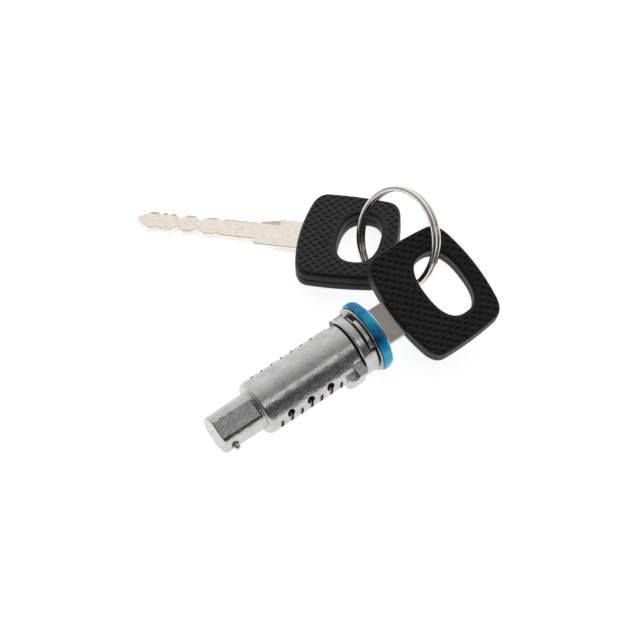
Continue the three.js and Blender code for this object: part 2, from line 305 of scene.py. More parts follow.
def finish(piece, name, matrix, body, material, slot, *nodes):
    """Places a finished piece in the row frame, gives it its material, ties it to its body and hides
    the CAD nodes it stands for.
    """
    piece.name = name
    piece.data.name = name
    piece.data.transform(matrix)
    if matrix.determinant() < 0:
        piece.data.flip_normals()
    piece.data.materials.clear()
    piece.data.materials.append(material)
    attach(piece, body)
    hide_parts(*nodes)
    return piece


# ---- Materials ----------------------------------------------------------------------------


def fill_ramp(ramp, stops):
    """Sets a colour ramp's stops from (position, colour or grey) pairs."""
    while len(ramp.elements) < len(stops):
        ramp.elements.new(0.5)
    for element, (position, colour) in zip(ramp.elements, stops):
        element.position = position
        grey = isinstance(colour, (int, float))
        element.color = (colour,) * 3 + (1,) if grey else (*colour, 1)


class Shader:
    """A Principled material whose extra nodes are added by short calls."""

    def __init__(self, name, **values):
        self.material = bpy.data.materials.new(name)
        self.material.use_nodes = True
        self.tree = self.material.node_tree
        self.bsdf = self.tree.nodes["Principled BSDF"]
        for socket, value in values.items():
            self.bsdf.inputs[socket.replace("_", " ")].default_value = value

    def node(self, kind, **settings):
        """A new node with its properties set."""
        made = self.tree.nodes.new(kind)
        for key, value in settings.items():
            setattr(made, key, value)
        return made

    def link(self, source, target):
        """Joins an output socket to an input socket."""
        self.tree.links.new(source, target)

    def place(self):
        """Object coordinates in millimetres."""
        coords = self.node("ShaderNodeTexCoord")
        mapping = self.node("ShaderNodeMapping")
        mapping.inputs["Scale"].default_value = [1 / MM] * 3
        self.link(coords.outputs["Object"], mapping.inputs["Vector"])
        return mapping.outputs["Vector"]

    def noise(self, size, detail=3.0, roughness=0.55):
        """Noise with features of about the given size in millimetres."""
        texture = self.node("ShaderNodeTexNoise")
        texture.inputs["Scale"].default_value = 1 / size
        texture.inputs["Detail"].default_value = detail
        texture.inputs["Roughness"].default_value = roughness
        self.link(self.place(), texture.inputs["Vector"])
        return texture.outputs["Fac"]

    def ramp(self, value, *stops):
        """A colour or grey ramp from (position, colour) stops."""
        ramp = self.node("ShaderNodeValToRGB")
        fill_ramp(ramp.color_ramp, stops)
        self.link(value, ramp.inputs["Fac"])
        return ramp.outputs["Color"]

    def mix(self, factor, first, second, blend="MIX"):
        """Mixes two colours, each a socket or a value."""
        mix = self.node("ShaderNodeMix", data_type="RGBA", blend_type=blend)
        for index, value in ((0, factor), (6, first), (7, second)):
            if isinstance(value, bpy.types.NodeSocket):
                self.link(value, mix.inputs[index])
            elif isinstance(value, tuple):
                mix.inputs[index].default_value = (*value, 1)
            elif index:
                mix.inputs[index].default_value = (value, value, value, 1)
            else:
                mix.inputs[index].default_value = value
        return mix.outputs[2]

    def math(self, operation, first, second):
        """Simple arithmetic on two sockets or values."""
        made = self.node("ShaderNodeMath", operation=operation)
        for socket, value in zip(made.inputs, (first, second)):
            if isinstance(value, bpy.types.NodeSocket):
                self.link(value, socket)
            else:
                socket.default_value = value
        return made.outputs[0]

    def read(self, name):
        """A number stored on the vertices."""
        return self.node("ShaderNodeAttribute", attribute_name=name).outputs["Fac"]

    def bump(self, *layers):
        """Bump from (height, strength, depth in millimetres) layers, one on top of another."""
        below = None
        for height, strength, depth in layers:
            made = self.node("ShaderNodeBump")
            made.inputs["Strength"].default_value = strength
            made.inputs["Distance"].default_value = depth * MM
            self.link(height, made.inputs["Height"])
            if below is not None:
                self.link(below, made.inputs["Normal"])
            below = made.outputs["Normal"]
        self.link(below, self.bsdf.inputs["Normal"])

    def set(self, **sockets):
        """Links sockets to the shader's inputs, and gives the finished material."""
        for name, socket in sockets.items():
            self.link(socket, self.bsdf.inputs[name.replace("_", " ")])
        return self.material


def zinc_material():
    """Die-cast zinc: satin skin with fine speckle, rough grey where the cast skin is raw, and
    near-black painted shade where the vertices carry it.
    """
    s = Shader("zinc", Metallic=1.0)
    raw = s.read("raw")
    painted_shade = s.read("painted_shade")
    cloud = s.noise(4.0, 4.0)
    speckle = s.noise(0.34, 1.5, 0.6)
    skin = s.ramp(cloud, (0.32, (0.50, 0.50, 0.505)), (0.68, (0.64, 0.63, 0.61)))
    skin = s.mix(0.25, skin, s.ramp(speckle, (0.36, 0.34), (0.64, 0.66)), "OVERLAY")
    grain = s.ramp(s.noise(0.3, 2.0, 0.8), (0.36, (0.28, 0.28, 0.285)), (0.62, (0.92, 0.92, 0.92)))
    colour = s.mix(raw, skin, grain)
    # painted shade: the colour goes near black where the vertices are marked as shaded
    colour = s.mix(painted_shade, colour, (0.012, 0.012, 0.013))
    rough = s.ramp(speckle, (0.3, 0.23), (0.7, 0.33))
    rough = s.mix(raw, rough, 0.5)
    rough = s.mix(painted_shade, rough, 0.7)
    spots = s.ramp(s.noise(0.42, 1.0, 0.5), (0.42, 0.0), (0.58, 1.0))
    pits = s.math("MULTIPLY", s.read("grit"), spots)
    s.bump((cloud, 0.3, 0.08), (pits, 0.32, 0.05), (speckle, 0.08, 0.02))
    return s.set(Base_Color=colour, Roughness=rough)


def nickel_material(name, light, dark, rough, size=0.5):
    """Bright plate with faint clouds and fine wear."""
    s = Shader(name, Metallic=1.0)
    cloud = s.noise(2.2, 4.0)
    fine = s.noise(size, 3.0, 0.65)
    stops = ((0.3, dark), (0.7, light))
    colour = s.mix(0.3, s.ramp(cloud, *stops), s.ramp(fine, *stops))
    s.bump((fine, 0.25, 0.01))
    return s.set(Base_Color=colour, Roughness=s.ramp(fine, (0.3, rough[0]), (0.7, rough[1])))


def blade_material(name, tone):
    """Nickel silver: satin, finely mottled, and darker as the tone falls."""
    s = Shader(name, Metallic=1.0)
    mottle = s.noise(1.3, 5.0, 0.7)
    fine = s.noise(0.16, 2.0, 0.7)
    dark, light = (tuple(np.array(c) * tone) for c in ((0.78, 0.70, 0.61), (0.97, 0.91, 0.82)))
    colour = s.ramp(mottle, (0.32, dark), (0.68, light))
    colour = s.mix(0.25, colour, s.ramp(fine, (0.35, 0.44), (0.65, 0.56)), "OVERLAY")
    colour = s.mix(s.read("milled"), colour, s.mix(1.0, colour, (0.66, 0.62, 0.58), "MULTIPLY"))
    rough = s.ramp(mottle, (0.3, 0.24), (0.7, 0.36))
    s.bump((mottle, 0.3, 0.04), (fine, 0.3, 0.008))
    return s.set(Base_Color=colour, Roughness=rough)


def brass_material():
    """Dull brass, stained, and painted dark towards near black as shade for the deep slots it lies in.
    """
    s = Shader("brass", Metallic=1.0)
    stain_and_shade = s.noise(0.8, 4.0, 0.65)
    # painted shade with stains: patches from near black to dull gold
    colour = s.ramp(stain_and_shade, (0.35, (0.05, 0.03, 0.012)), (0.68, (0.46, 0.30, 0.10)))
    s.bump((s.noise(0.15), 0.3, 0.01))
    return s.set(Base_Color=colour, Roughness=s.ramp(stain_and_shade, (0.3, 0.5), (0.7, 0.32)))


def black_material():
    """Moulded black plastic with a fine spark-eroded grain."""
    s = Shader("black_plastic", Specular_IOR_Level=0.34)
    cloud = s.noise(5.0)
    fine = s.noise(0.14, 2.0, 0.7)
    colour = s.ramp(cloud, (0.3, (0.0070, 0.0072, 0.0080)), (0.7, (0.0105, 0.0108, 0.0118)))
    s.bump((fine, 0.5, 0.012), (s.noise(1.6, 2.0), 0.15, 0.03))
    return s.set(Base_Color=colour, Roughness=s.ramp(fine, (0.3, 0.40), (0.7, 0.56)))


def blue_material():
    """Translucent tinted plastic, with painted highlights where its tone is high and painted shade at
    its facet seams.
    """
    s = Shader("blue_plastic", Transmission_Weight=0.12, IOR=1.49, Specular_IOR_Level=0.22)
    painted_light = s.math("MULTIPLY", s.read("tone"), 0.8)
    tone = s.math("ADD", painted_light, s.math("MULTIPLY", s.noise(2.2), 0.3))
    fine = s.noise(0.5, 3.0, 0.6)
    dark, deep = (0.0, 0.06, 0.14), (0.0, 0.28, 0.60)
    tint, pale = (0.0, 0.44, 0.90), (0.03, 0.66, 1.0)
    # the tone runs from painted shade (dark) to painted highlight (pale)
    colour = s.ramp(tone, (0.2, dark), (0.38, deep), (0.54, tint), (0.72, pale))
    s.bump((s.noise(2.0), 0.4, 0.15), (fine, 0.3, 0.03))
    return s.set(Base_Color=colour, Roughness=s.ramp(fine, (0.3, 0.14), (0.7, 0.28)))


ZINC = zinc_material()
NICKEL = nickel_material("nickel", (0.86, 0.82, 0.765), (0.72, 0.67, 0.61), (0.10, 0.20))
PLATE = nickel_material("dull_plate", (0.60, 0.565, 0.52), (0.38, 0.36, 0.335), (0.24, 0.38), 0.9)
STEEL = nickel_material("spring_steel", (0.62, 0.62, 0.63), (0.45, 0.45, 0.46), (0.22, 0.34))
# the key in the lock gets a darker copy of the blade material
BLADES = {"key_1": blade_material("darker_blade", 0.6), "key_2": blade_material("blade", 1.0)}
BRASS = brass_material()
BLACK = black_material()
BLUE = blue_material()

# ---- Barrel casting -----------------------------------------------------------------------

GAP = 0.25  # working clearance between the casting and what moves in it
TAIL_R = 5.8
TAIL_FLAT = 5.25
BODY_START = 13.4
BODY_R = 7.95
BODY_END = 45.3
NECK_R = 7.35
NECK_END = 54.1
FLAT_TURN = 7  # the tail's flat faces this many degrees from +Z towards -Y
RIB_R = 8.27
RIB_EDGE = (3.8, 6.4)  # distances from the middle of a rib over which its edge slopes away
RIB_END = 43.2
LUG_FROM, LUG_STEP, LUG_TO = 39.4, 42.1, 45.3
LUG_OUT, LUG_BOTTOM, LUG_STEP_TOP, LUG_TOP = 9.9, -3.4, 3.3, 5.0

WAFER_STATIONS = [17.1 + 3.37 * i for i in range(7)]
WAFER_R = 7.75
WAFER_THICK = 0.6
WAFER_HALF_WIDTH = 2.5
WAFER_SLOT = 0.85
SLOT_TOP = 4.4
WAFER_TRAVEL = 0.8
EAR = (-0.5, 1.1)
EAR_TOP = 4.6
SPRING_Z = 3.5
SPRING_BORE_R = 1.1
SPRING_FROM = -6.1
SPRING_WIRE = 0.26

PIN_STATION = 2.9
PIN_ANGLE = math.radians(16)
PIN_DIRECTION = Vector((0, -math.cos(PIN_ANGLE), math.sin(PIN_ANGLE)))
PIN_R = 0.85
PIN_TIP = TAIL_R + 1.6
PIN_LENGTH = 3.6
PIN_DOME = 0.6
PIN_SPRING_FROM = 1.35
PIN_TRAVEL = joints["tail_pin_push"]["range_m"][1] / MM

BLADE_HALF = 3.65
BLADE_THICK = 2.2
BLADE_LENGTH = 49.1
SHOULDER_HALF = 5.7
SHOULDER = 13.0
HEAD_BOW_NEAR = 2.35  # how far the near side of a head bows out


def wafer_pockets(station, side):
    """Slot, ear room and spring bore of one wafer; side is +1 or -1."""
    half = WAFER_SLOT / 2
    turn = 0 if side > 0 else 180
    slot = block(
        (station - half, -10, -WAFER_HALF_WIDTH - GAP), (station + half, 10, WAFER_HALF_WIDTH + GAP)
    )
    ear_room = block(
        (station - half, EAR[0] - 0.6, 0), (station + half, EAR[1] + WAFER_TRAVEL + GAP, EAR_TOP + GAP)
    )
    bore = rod((station, EAR[0] - 0.1, SPRING_Z), (0, -1, 0), 9, SPRING_BORE_R)
    opening = block((station - half - 0.12, 6.8, 0), (station + half + 0.12, 10, SLOT_TOP))
    return [slot, opening, turned(ear_room, turn), turned(bore, turn)]


def barrel_casting():
    """The casting with its lug, flat, keyway, slots and pin bore, under an even cast skin."""
    body = revolve(
        [
            (0, TAIL_R - 0.35),
            (0.35, TAIL_R),
            (BODY_START - 0.2, TAIL_R + 0.1),
            (BODY_START, TAIL_R + 0.3),
            (BODY_START, BODY_R - 0.55),
            (BODY_START + 0.15, BODY_R - 0.2),
            (BODY_START + 0.5, BODY_R),
            (BODY_END, BODY_R),
            (BODY_END, NECK_R),
            (NECK_END, NECK_R),
        ]
    )
    plan = [
        (LUG_FROM, -5),
        (LUG_FROM, 1.4 - LUG_OUT),
        (LUG_FROM + 0.4, 0.6 - LUG_OUT),
        (LUG_FROM + 1.3, 0.1 - LUG_OUT),
        (LUG_FROM + 2, -LUG_OUT),
        (LUG_TO - 0.6, -LUG_OUT),
        (LUG_TO - 0.2, 0.2 - LUG_OUT),
        (LUG_TO, 0.6 - LUG_OUT),
        (LUG_TO, -5),
    ]
    lug = prism(plan, LUG_BOTTOM, LUG_TOP)
    combine(lug, "DIFFERENCE", block((0, -20, LUG_STEP_TOP), (LUG_STEP, 0, 20)))
    combine(body, "UNION", lug)
    slot = BLADE_THICK / 2 + GAP
    head_edge = KEY_1_STATION - HEAD_BOW_NEAR
    tip = head_edge - BLADE_LENGTH
    mouth = head_edge - SHOULDER
    cuts = [
        turned(block((-1, -10, TAIL_FLAT), (BODY_START - 0.4, 10, 10)), FLAT_TURN),
        block((tip - 0.5, -BLADE_HALF - GAP, -slot), (60, BLADE_HALF + GAP, slot)),
        block((mouth - 0.5, -SHOULDER_HALF - GAP, -slot), (60, SHOULDER_HALF + GAP, slot)),
        rod(Vector((PIN_STATION, 0, 0)) + PIN_DIRECTION * 1.2, PIN_DIRECTION, 10, PIN_R + 0.25),
        block((43.7, 6.6, 0.6), (BODY_END + 1, 12, 3.0)),
    ]
    for i, station in enumerate(WAFER_STATIONS):
        cuts += wafer_pockets(station, 1 if i % 2 else -1)
    combine(body, "DIFFERENCE", *cuts)
    return remesh(body, 0.17, 1)


def raise_ribs(points):
    """Swells the casting along both sides, with edges that slope away gently."""
    x, y, z = points.T
    radius = np.hypot(y, z)
    along = fade(x, BODY_START + 0.5, BODY_START + 1.3) * (1 - fade(x, RIB_END - 0.5, RIB_END))
    across = 1 - fade(np.abs(z), *RIB_EDGE)
    skin = fade(radius, 6.9, 7.8) * (radius < BODY_R + 0.1)
    out = (RIB_R - BODY_R) * along * across * skin / np.maximum(radius, 1)
    points[:, 1] += y * out
    points[:, 2] += z * out


def weather_casting(piece):
    """Cast waviness in the shape, and, as numbers on the vertices, the raw places and the places of
    painted shade.
    """
    points = coordinates(piece)
    raise_ribs(points)
    set_coordinates(piece, points)
    facing = normals(piece)
    x, y, z = points.T
    radius = np.hypot(y, z)
    outside = radius > np.where(x < BODY_START, TAIL_R - 0.7, NECK_R - 0.3)
    wave = 0.03 * field(points, 2.2, 1) + 0.02 * field(points, 0.8, 2) - 0.03
    on_lug = (x > LUG_FROM) & (x < LUG_TO - 0.15) & (y < -6.2) & (z > 2.9) & (facing[:, 2] > 0.8)
    raw = np.where(on_lug, 1.0, 0.0)
    raw = np.maximum(raw, np.clip(field(points, 4.5, 8) * 2.5 - 0.9, 0, 0.5) * (x > BODY_START))
    # painted dark reflection: torn dark lines on both sides of the flat, where it was cut across the
    # round tail
    turn = math.radians(FLAT_TURN)
    across = y * math.cos(turn) + z * math.sin(turn)
    height = z * math.cos(turn) - y * math.sin(turn)
    beside = (x > 0.25) & (x < BODY_START - 0.1) & (height < TAIL_FLAT - 0.03) & (height > 3.2)
    torn = field(points * (0.45, 1, 1), 0.6, 4)
    near = 1.0 - (-across - 2.95 - 0.5 * torn) / 0.22
    far = 1.0 - (across - 2.55 - 0.4 * torn) / 0.16
    painted_shade = np.where(beside, np.clip(np.where(across < 0, near, far), 0, 0.8), 0)
    # painted shade inside the bores and the keyway
    painted_shade = np.maximum(painted_shade, np.where(outside | (x < 0.6), 0, 0.75))
    # painted shade on the walls of the wafer slots
    in_slot = (np.abs(facing[:, 0]) > 0.6) & (x > WAFER_STATIONS[0] - 1) & (x < WAFER_STATIONS[-1] + 1)
    painted_shade = np.maximum(painted_shade, np.where(in_slot, 0.8, 0))
    grain = 0.07 * raw * field(points, 0.42, 3) - 0.08 * painted_shade * outside
    points += facing * (np.where(outside, wave, 0) + grain)[:, None]
    set_coordinates(piece, points)
    attribute(piece, "raw", raw)
    attribute(piece, "painted_shade", painted_shade)
    patches = 0.55 + 0.6 * field(points, 3.5, 11)
    attribute(piece, "grit", np.clip(np.where(x < BODY_START + 0.5, 0.12, patches), 0.1, 1))


casting = barrel_casting()
weather_casting(casting)
shade(casting)
finish(casting, "barrel_casting_skin", LOCK, "barrel", ZINC, "zinc", "barrel_casting")

# ---- Wafers, springs and the tail pin -----------------------------------------------------


def wafer(station, side):
    """One flat wafer with its ear and key window; side is +1 or -1."""
    half = WAFER_THICK / 2
    plate = block((station - half, -9, -WAFER_HALF_WIDTH), (station + half, 9, WAFER_HALF_WIDTH))
    disc = revolve([(station - half, WAFER_R), (station + half, WAFER_R)])
    ear = block((station - half, EAR[0], 0), (station + half, EAR[1], EAR_TOP))
    turned(ear, 0 if side > 0 else 180)
    half_y = BLADE_HALF + WAFER_TRAVEL + 0.2
    half_z = BLADE_THICK / 2 + 0.35
    window = block((station - 1, -half_y, -half_z), (station + 1, half_y, half_z))
    combine(plate, "INTERSECT", disc)
    combine(plate, "UNION", ear)
    combine(plate, "DIFFERENCE", window)
    return round_edges(plate, 0.06)


def coil(radius, wire, length, turns):
    """A coil of round wire along +Y from y = 0."""
    steps, sides = 28 * turns, 10
    rows = []
    for i in range(steps + 1):
        t = i / steps
        angle = t * turns * 2 * math.pi
        out = np.array((math.cos(angle), 0, math.sin(angle)))
        centre = radius * out + np.array((0, t * length, 0))
        around = np.arange(sides)[:, None] / sides * 2 * math.pi
        rows.append(centre + wire / 2 * (np.cos(around) * out + np.sin(around) * np.array((0, 1, 0))))
    return tube(rows, 50)


for index, station in enumerate(WAFER_STATIONS):
    number = index + 1
    side = 1 if index % 2 else -1
    plate = wafer(station, side)
    finish(plate, f"wafer_{number}_plate", LOCK, f"wafer_{number}", BRASS, "brass", f"wafer_{number}")
    spring = coil(0.58, SPRING_WIRE, EAR[0] - 0.2 - SPRING_FROM, 4)
    spring.data.transform(Matrix.Translation((station, SPRING_FROM, SPRING_Z)))
    turned(spring, 0 if side > 0 else 180)
    finish(
        spring,
        f"wafer_{number}_spring",
        LOCK,
        "barrel",
        STEEL,
        "spring_steel",
        f"wafer_spring_{number}",
    )


def pin_frame():
    """X out along the pin from the lock's axis."""
    turn = Vector((1, 0, 0)).rotation_difference(PIN_DIRECTION).to_matrix().to_4x4()
    return LOCK @ Matrix.Translation((PIN_STATION, 0, 0)) @ turn


pin_end = PIN_TIP - PIN_LENGTH
dome = [
    (PIN_TIP - PIN_DOME + PIN_DOME * math.sin(a), PIN_R * (0.35 + 0.65 * math.cos(a)))
    for a in np.linspace(0, math.pi / 2, 12)
]
pin = revolve([(pin_end, PIN_R)] + dome, 48)
shade(pin, angle=50)
finish(pin, "tail_pin_plunger", pin_frame(), "tail_pin", STEEL, "spring_steel", "tail_pin")
pin_spring = coil(0.6, SPRING_WIRE, pin_end - PIN_TRAVEL - 0.35 - PIN_SPRING_FROM, 3)
along_pin = Matrix.Rotation(-math.pi / 2, 4, "Z")
pin_spring.data.transform(Matrix.Translation((PIN_SPRING_FROM, 0, 0)) @ along_pin)
finish(pin_spring, "tail_pin_coil", pin_frame(), "barrel", STEEL, "spring_steel", "tail_pin_spring")

# ---- Front rings and cap ------------------------------------------------------------------

RING_BORE_R = 7.65
COLLAR_FROM, COLLAR_GROOVE, COLLAR_TO = 45.6, 48.3, 50.0
COLLAR_REAR, COLLAR_FRONT, COLLAR_PAD = 9.25, 8.7, 9.3
# Raised pads: from and to in degrees from +Y towards +Z, and the stations they span.
PADS = (
    (22, 43, 47.6, 49.1),
    (67, 125, 48.7, 50.0),
    (131, 219, 45.7, 49.75),
    (270, 330, 48.6, 50.0),
)


def sector(start, end, low, high, depth=14):
    """A wedge tool between two angles from +Y towards +Z, and two stations."""
    angles = np.radians(np.linspace(start, end, 9))
    outline = [(0.0, 0.0)] + [(depth * math.cos(a), depth * math.sin(a)) for a in angles]
    piece = prism(outline, low, high)
    piece.data.transform(Matrix(((0, 0, 1, 0), (1, 0, 0, 0), (0, 1, 0, 0), (0, 0, 0, 1))))
    outwards(piece)
    return piece


def collar():
    """The cast collar: its groove, raised pads and notch, under an even cast skin."""
    body = revolve(
        [
            (COLLAR_FROM, RING_BORE_R),
            (COLLAR_FROM, COLLAR_REAR - 0.3),
            (COLLAR_FROM + 0.25, COLLAR_REAR),
            (COLLAR_GROOVE - 0.3, COLLAR_REAR),
            (COLLAR_GROOVE - 0.15, COLLAR_FRONT - 0.3),
            (COLLAR_GROOVE + 0.3, COLLAR_FRONT - 0.3),
            (COLLAR_GROOVE + 0.4, COLLAR_FRONT - 0.1),
            (COLLAR_TO - 0.85, COLLAR_FRONT - 0.1),
            (COLLAR_TO - 0.8, RING_BORE_R + 0.35),
            (COLLAR_TO, RING_BORE_R + 0.35),
            (COLLAR_TO, RING_BORE_R),
        ],
        closed=True,
    )
    for start, end, low, high in PADS:
        pad = revolve(
            [(low, RING_BORE_R), (low, COLLAR_PAD), (high, COLLAR_PAD), (high, RING_BORE_R)],
            closed=True,
        )
        combine(body, "UNION", combine(pad, "INTERSECT", sector(start, end, 40, 60)))
    combine(body, "DIFFERENCE", turned(block((40, 8.2, -1.6), (COLLAR_GROOVE - 0.4, 12, 1.6)), 12))
    return remesh(body, 0.12, 1)


def weather_collar(piece):
    """Cast waviness in the collar, and, as numbers on the vertices, its raw places and the places of
    painted shade.
    """
    points = coordinates(piece)
    facing = normals(piece)
    x, y, z = points.T
    radius = np.hypot(y, z)
    wave = 0.03 * field(points, 1.3, 5) + 0.02 * field(points, 0.5, 6)
    inside = radius < COLLAR_FRONT - 0.35
    groove = (np.abs(x - COLLAR_GROOVE - 0.05) < 0.4) & (radius < COLLAR_REAR - 0.25)
    # painted shade in the bore and in the groove
    painted_shade = np.where(inside, 0.85, np.where(groove, 0.8, 0.0))
    raw = np.clip(field(points, 2.6, 7) * 2.4 - 0.35, 0, 0.75)
    points += facing * np.where(inside, 0, wave)[:, None]
    set_coordinates(piece, points)
    attribute(piece, "raw", raw)
    attribute(piece, "painted_shade", painted_shade)
    attribute(piece, "grit", np.clip(0.35 + 0.5 * field(points, 2.5, 12), 0.1, 1))


collar_piece = collar()
weather_collar(collar_piece)
shade(collar_piece)
finish(collar_piece, "mounting_collar_skin", LOCK, "front_rings", ZINC, "zinc", "mounting_collar")

WASHER_FROM, WASHER_TO, WASHER_R = 50.25, 50.65, 10.2
washer = revolve(
    [
        (WASHER_FROM, RING_BORE_R),
        (WASHER_FROM, WASHER_R - 0.1),
        (WASHER_FROM + 0.05, WASHER_R - 0.02),
        (WASHER_FROM + 0.15, WASHER_R),
        (WASHER_TO - 0.1, WASHER_R),
        (WASHER_TO, WASHER_R - 0.1),
        (WASHER_TO, RING_BORE_R),
    ],
    closed=True,
)
shade(washer, angle=40)
finish(washer, "front_washer_plate", LOCK, "front_rings", PLATE, "nickel", "front_washer")


LIGHT_FROM, LIGHT_TO, LIGHT_R = 50.9, 54.1, 10.75
LIGHT_FACETS = 14


def light_ring():
    """Blue ring: the section's corners are rounded, and the rim is lightly faceted."""
    section = [
        (LIGHT_FROM, RING_BORE_R),
        (LIGHT_FROM, LIGHT_R - 0.55),
        (LIGHT_FROM + 0.15, LIGHT_R - 0.25),
        (LIGHT_FROM + 0.45, LIGHT_R - 0.03),
        (LIGHT_FROM + 1.3, LIGHT_R),
        (LIGHT_TO - 0.9, LIGHT_R - 0.03),
        (LIGHT_TO - 0.4, LIGHT_R - 0.25),
        (LIGHT_TO - 0.1, LIGHT_R - 0.75),
        (LIGHT_TO, LIGHT_R - 1.45),
        (LIGHT_TO, RING_BORE_R),
    ]
    piece = revolve(section, 192, closed=True)
    points = coordinates(piece)
    x, y, z = points.T
    radius = np.hypot(y, z)
    angle = np.arctan2(z, y)
    step = 2 * math.pi / LIGHT_FACETS
    from_middle = np.abs((angle / step) % 1 - 0.5) * 2
    flat = np.cos(step / 2) / np.cos(step / 2 * (1 - from_middle))
    outer = np.clip((radius - 9.0) / 1.2, 0, 1)
    shrink = 1 + 0.6 * (flat - 1) * outer
    points[:, 1] *= shrink
    points[:, 2] *= shrink
    set_coordinates(piece, points)
    # painted highlights in bands round the rim, and painted shade along the facet seams, stored as the
    # tone
    painted_highlights = 0.5 + 0.33 * field(points * (0.5, 1, 1), 4.0, 9) + 0.22 * np.sin(5 * angle + 0.6)
    painted_seam_shade = np.clip(from_middle - 0.8, 0, 0.2) / 0.2
    attribute(piece, "tone", np.clip(painted_highlights - 0.3 * painted_seam_shade * (field(points, 5.0, 10) > 0.05), 0, 1))
    shade(piece, angle=35)
    return piece


finish(light_ring(), "light_ring_body", LOCK, "front_rings", BLUE, "light_ring", "light_ring")

CAP_FROM, CAP_TO, CAP_R = 54.35, 54.95, 8.2
cap = revolve(
    [(CAP_FROM, CAP_R), (CAP_TO - 0.2, CAP_R), (CAP_TO - 0.05, CAP_R - 0.08), (CAP_TO, CAP_R - 0.25)]
)
half_y, half_z = SHOULDER_HALF + GAP, BLADE_THICK / 2 + GAP
combine(cap, "DIFFERENCE", block((50, -half_y, -half_z), (60, half_y, half_z)))
round_edges(cap, 0.05, angle=40)
finish(cap, "face_cap_plate", LOCK, "barrel", NICKEL, "nickel", "face_cap")

# ---- Key blades ---------------------------------------------------------------------------

NOSE, NOSE_HALF = 3.9, 0.35
# Cuts along both edges: station from the tip, depth, half length of the floor, flank slope.
CUTS = (
    (6.6, 0.9, 0.3, 1.4),
    (9.1, 0.8, 0.1, 1.0),
    (12.65, 1.7, 0.4, 1.2),
    (18.85, 1.9, 0.35, 1.15),
    (24.9, 0.8, 0.1, 0.8),
)
REBATE_TIP, REBATE_FROM, REBATE_FLOOR = 2.0, 2.95, 0.65  # the ledge widens towards the tip
RAMP_LOW, RAMP_HIGH, RAMP_END = -0.8, 0.6, 6.6
BLADE_EDGE = 0.17  # radius of the blade's rounded edges


def blade_edge():
    """Distances from the tip and half widths along the cut part, with softened corners."""
    distance = np.arange(0, BLADE_LENGTH - SHOULDER - 0.05, 0.12)
    half = np.minimum(BLADE_HALF, NOSE_HALF + (BLADE_HALF - NOSE_HALF) * distance / NOSE)
    cuts = [
        np.clip(depth - np.clip(np.abs(distance - at) - floor, 0, None) * slope, 0, None)
        for at, depth, floor, slope in CUTS
    ]
    half = half - np.max(cuts, axis=0)
    kernel = np.array((1, 2, 3, 2, 1)) / 9
    soft = np.convolve(np.pad(half, 2, mode="edge"), kernel, mode="valid")
    soft[0] = NOSE_HALF
    return distance, soft


def plate(outline, thickness, edge):
    """A flat plate of the outline whose top and bottom edges are rounded."""
    outline = np.array(outline)
    low_x = outline[:, 0].min()
    layers = []
    for side in (-1, 1):
        for angle in np.radians((90, 60, 30, 0))[::-side]:
            inset = edge * (1 - math.cos(angle))
            y = np.sign(outline[:, 1]) * np.maximum(np.abs(outline[:, 1]) - inset, 0.05)
            x = np.maximum(outline[:, 0], low_x + inset)
            z = side * (thickness / 2 - edge * (1 - math.sin(angle)))
            layers.append(np.column_stack((x, y, np.full(len(x), z))))
    count = len(outline)
    faces = [list(reversed(range(count))), [(len(layers) - 1) * count + k for k in range(count)]]
    for i in range(len(layers) - 1):
        for k in range(count):
            a, b = i * count + k, i * count + (k + 1) % count
            faces.append((a, b, b + count, a + count))
    piece = make("plate", np.concatenate(layers), faces)
    outwards(piece)
    return piece


def blade():
    """A cut blade with a milled ledge along one edge of each face and a ramp at its root."""
    head = -HEAD_BOW_NEAR
    tip = head - BLADE_LENGTH
    distance, half = blade_edge()
    upper = [(tip + d, h) for d, h in zip(distance, half)]
    shoulder = head - SHOULDER
    upper += [(shoulder, BLADE_HALF), (shoulder + 0.05, SHOULDER_HALF), (-1.7, SHOULDER_HALF)]
    outline = [(x, -y) for x, y in upper] + [(x, y) for x, y in reversed(upper)]
    piece = plate(outline, BLADE_THICK, BLADE_EDGE)
    ramp_end = head - RAMP_END
    ledge = [(tip - 2, REBATE_TIP), (shoulder, REBATE_FROM), (shoulder, 9), (tip - 2, 9)]
    ramp = [
        (shoulder, RAMP_LOW),
        (ramp_end, RAMP_HIGH),
        (ramp_end, BLADE_THICK),
        (shoulder, BLADE_THICK),
    ]
    for degrees in (0, 180):
        mill = prism(ledge, REBATE_FLOOR, BLADE_THICK)
        groove = prism(ramp, -9, -REBATE_FROM)
        groove.data.transform(Matrix.Rotation(math.pi / 2, 4, "X"))
        combine(piece, "DIFFERENCE", turned(mill, degrees), turned(groove, degrees))
    shade(piece, angle=35, weighted=True)
    layer = piece.data.attributes.new("milled", "FLOAT", "FACE")
    for value, face in zip(layer.data, piece.data.polygons):
        value.value = float(abs(face.normal.z) > 0.8 and abs(face.center.z) < 0.9)
    return piece


# ---- Key heads ----------------------------------------------------------------------------

HEAD_LENGTH, HEAD_NEAR, HEAD_FAR = 24.5, 17.25, 16.25
HEAD_THICK = 5.8
HEAD_CORNER = 0.13
HEAD_BOWS = ((0, -0.75), (2.1, 0), (0, 0.75), (-HEAD_BOW_NEAR, 0))
HOLE_X, HOLE_HALF_X, HOLE_HALF_Y, HOLE_POWER = 15.4, 6.2, 10.4, 2.5
AROUND = 840  # steps round the head
ACROSS = 62  # steps from the hole's rim to the outline
RIM_CROWDING = 0.055 / (2 * math.pi)
OUTER_ROLL, HOLE_ROLL = 1.1, 0.7
DISH_DEPTH, DISH_WIDTH = 0.28, 2.2
DIMPLE = {"pitch": 2.7, "row": 1.43, "at": (4.65, 15.1), "r": 0.8, "depth": 0.32}


